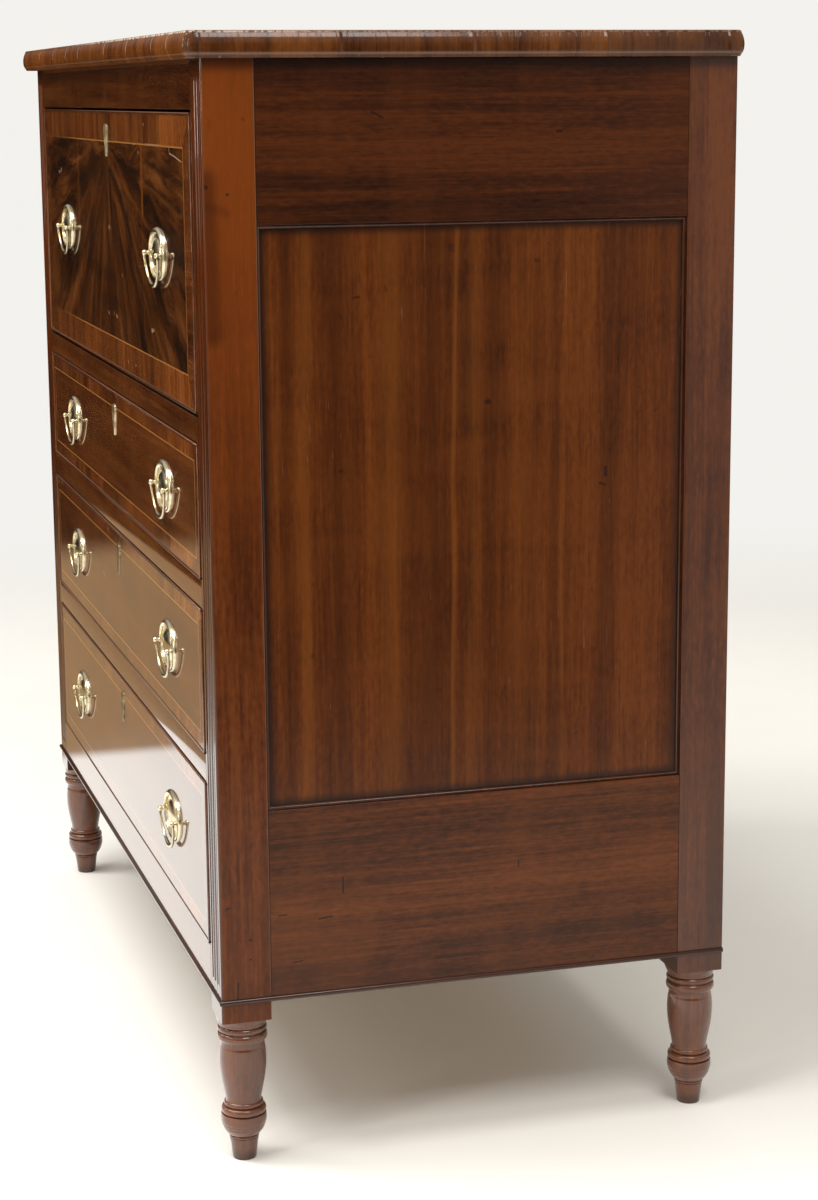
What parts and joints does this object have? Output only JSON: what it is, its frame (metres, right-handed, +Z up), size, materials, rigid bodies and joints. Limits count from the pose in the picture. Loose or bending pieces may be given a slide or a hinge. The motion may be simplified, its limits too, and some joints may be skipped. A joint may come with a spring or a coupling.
{
  "type": "butlers chest",
  "caption": "Free-standing mahogany chest with a deep fall-front desk drawer, graduated drawers below, frame-and-panel sides, reeded front posts and short turned legs.",
  "frame": {"origin": "on the floor under the centre of the chest's overall box", "axes": "+Z up, the drawers face -Y, +X to the right of a person who looks at the back from behind, which is the right-hand side seen from the front"},
  "size_m": [1.114, 0.575, 1.15],
  "materials": {
    "veneered_top": "French polished mahogany veneer",
    "mahogany_posts": "polished mahogany",
    "mahogany_rails": "polished mahogany",
    "mahogany_panels": "polished mahogany veneer",
    "mahogany_mouldings": "polished mahogany",
    "secondary_wood": "bare poplar and pine",
    "writing_board": "polished mahogany",
    "desk_interior": "polished satin mahogany",
    "veneered_fronts": "glossy French polished crotch mahogany veneer with string inlay",
    "brass_pulls": "polished cast brass",
    "brass_locks": "aged brass"
  },
  "bodies": {
    "case": {"top_board": "veneered_top", "front_post_right": "mahogany_posts", "front_post_left": "mahogany_posts", "back_post_right": "mahogany_posts", "back_post_left": "mahogany_posts", "side_top_rail_right": "mahogany_rails", "side_top_rail_left": "mahogany_rails", "side_bottom_rail_right": "mahogany_rails", "side_bottom_rail_left": "mahogany_rails", "side_panel_right": "mahogany_panels", "side_panel_left": "mahogany_panels", "panel_beads": "mahogany_mouldings", "frieze_rail": "mahogany_rails", "upper_blade": "mahogany_rails", "middle_blade": "mahogany_rails", "lower_blade": "mahogany_rails", "bottom_rail": "mahogany_rails", "base_bead": "mahogany_mouldings", "drawer_runners": "secondary_wood", "drawer_guides": "secondary_wood", "back_rails": "secondary_wood", "back_boards": "secondary_wood"},
    "desk_drawer": {"desk_sides": "secondary_wood", "desk_board": "writing_board", "desk_back": "secondary_wood", "pivot_plates": "brass_locks", "pigeonhole_case": "desk_interior", "pigeonhole_dividers": "desk_interior", "pigeonhole_valances": "desk_interior"},
    "fall_front": {"fall_board": "veneered_fronts", "quadrant_stays": "brass_locks", "fall_lock": "brass_locks", "fall_pull_plates": "brass_pulls"},
    "small_drawer_left": {"small_drawer_left": "desk_interior"},
    "small_drawer_middle": {"small_drawer_middle": "desk_interior"},
    "small_drawer_right": {"small_drawer_right": "desk_interior"},
    "fall_bolt": {"fall_bolt": "brass_locks"},
    "fall_bail_left": {"fall_bail_left": "brass_pulls"},
    "fall_bail_right": {"fall_bail_right": "brass_pulls"},
    "upper_drawer": {"upper_drawer_front": "veneered_fronts", "upper_drawer_box": "secondary_wood", "upper_drawer_lock": "brass_locks", "upper_drawer_pull_plates": "brass_pulls"},
    "upper_drawer_bolt": {"upper_drawer_bolt": "brass_locks"},
    "upper_drawer_bail_left": {"upper_drawer_bail_left": "brass_pulls"},
    "upper_drawer_bail_right": {"upper_drawer_bail_right": "brass_pulls"},
    "middle_drawer": {"middle_drawer_front": "veneered_fronts", "middle_drawer_box": "secondary_wood", "middle_drawer_lock": "brass_locks", "middle_drawer_pull_plates": "brass_pulls"},
    "middle_drawer_bolt": {"middle_drawer_bolt": "brass_locks"},
    "middle_drawer_bail_left": {"middle_drawer_bail_left": "brass_pulls"},
    "middle_drawer_bail_right": {"middle_drawer_bail_right": "brass_pulls"},
    "lower_drawer": {"lower_drawer_front": "veneered_fronts", "lower_drawer_box": "secondary_wood", "lower_drawer_lock": "brass_locks", "lower_drawer_pull_plates": "brass_pulls"},
    "lower_drawer_bolt": {"lower_drawer_bolt": "brass_locks"},
    "lower_drawer_bail_left": {"lower_drawer_bail_left": "brass_pulls"},
    "lower_drawer_bail_right": {"lower_drawer_bail_right": "brass_pulls"}
  },
  "joints": [
    {"name": "desk_drawer_slide", "type": "slide", "parent": "case", "child": "desk_drawer", "axis": [0, -1, 0], "range_m": [0, 0.3]},
    {"name": "fall_hinge", "type": "hinge", "parent": "desk_drawer", "child": "fall_front", "pos_m": [0, -0.26, 0.792], "axis": [1, 0, 0], "range_deg": [0, 90]},
    {"name": "small_drawer_left_slide", "type": "slide", "parent": "desk_drawer", "child": "small_drawer_left", "axis": [0, -1, 0], "range_m": [0, 0.165]},
    {"name": "small_drawer_middle_slide", "type": "slide", "parent": "desk_drawer", "child": "small_drawer_middle", "axis": [0, -1, 0], "range_m": [0, 0.165]},
    {"name": "small_drawer_right_slide", "type": "slide", "parent": "desk_drawer", "child": "small_drawer_right", "axis": [0, -1, 0], "range_m": [0, 0.165]},
    {"name": "fall_bolt_slide", "type": "slide", "parent": "fall_front", "child": "fall_bolt", "axis": [0, 0, 1], "range_m": [0, 0.008]},
    {"name": "fall_bail_left_swing", "type": "hinge", "parent": "fall_front", "child": "fall_bail_left", "pos_m": [-0.306, -0.278, 0.9265], "axis": [-1, 0, 0], "range_deg": [0, 170]},
    {"name": "fall_bail_right_swing", "type": "hinge", "parent": "fall_front", "child": "fall_bail_right", "pos_m": [0.306, -0.278, 0.9265], "axis": [-1, 0, 0], "range_deg": [0, 170]},
    {"name": "upper_drawer_slide", "type": "slide", "parent": "case", "child": "upper_drawer", "axis": [0, -1, 0], "range_m": [0, 0.38]},
    {"name": "upper_drawer_bolt_slide", "type": "slide", "parent": "upper_drawer", "child": "upper_drawer_bolt", "axis": [0, 0, 1], "range_m": [0, 0.008]},
    {"name": "upper_drawer_bail_left_swing", "type": "hinge", "parent": "upper_drawer", "child": "upper_drawer_bail_left", "pos_m": [-0.306, -0.278, 0.68], "axis": [-1, 0, 0], "range_deg": [0, 170]},
    {"name": "upper_drawer_bail_right_swing", "type": "hinge", "parent": "upper_drawer", "child": "upper_drawer_bail_right", "pos_m": [0.306, -0.278, 0.68], "axis": [-1, 0, 0], "range_deg": [0, 170]},
    {"name": "middle_drawer_slide", "type": "slide", "parent": "case", "child": "middle_drawer", "axis": [0, -1, 0], "range_m": [0, 0.38]},
    {"name": "middle_drawer_bolt_slide", "type": "slide", "parent": "middle_drawer", "child": "middle_drawer_bolt", "axis": [0, 0, 1], "range_m": [0, 0.008]},
    {"name": "middle_drawer_bail_left_swing", "type": "hinge", "parent": "middle_drawer", "child": "middle_drawer_bail_left", "pos_m": [-0.306, -0.278, 0.5055], "axis": [-1, 0, 0], "range_deg": [0, 170]},
    {"name": "middle_drawer_bail_right_swing", "type": "hinge", "parent": "middle_drawer", "child": "middle_drawer_bail_right", "pos_m": [0.306, -0.278, 0.5055], "axis": [-1, 0, 0], "range_deg": [0, 170]},
    {"name": "lower_drawer_slide", "type": "slide", "parent": "case", "child": "lower_drawer", "axis": [0, -1, 0], "range_m": [0, 0.38]},
    {"name": "lower_drawer_bolt_slide", "type": "slide", "parent": "lower_drawer", "child": "lower_drawer_bolt", "axis": [0, 0, 1], "range_m": [0, 0.008]},
    {"name": "lower_drawer_bail_left_swing", "type": "hinge", "parent": "lower_drawer", "child": "lower_drawer_bail_left", "pos_m": [-0.306, -0.278, 0.3135], "axis": [-1, 0, 0], "range_deg": [0, 170]},
    {"name": "lower_drawer_bail_right_swing", "type": "hinge", "parent": "lower_drawer", "child": "lower_drawer_bail_right", "pos_m": [0.306, -0.278, 0.3135], "axis": [-1, 0, 0], "range_deg": [0, 170]}
  ]
}
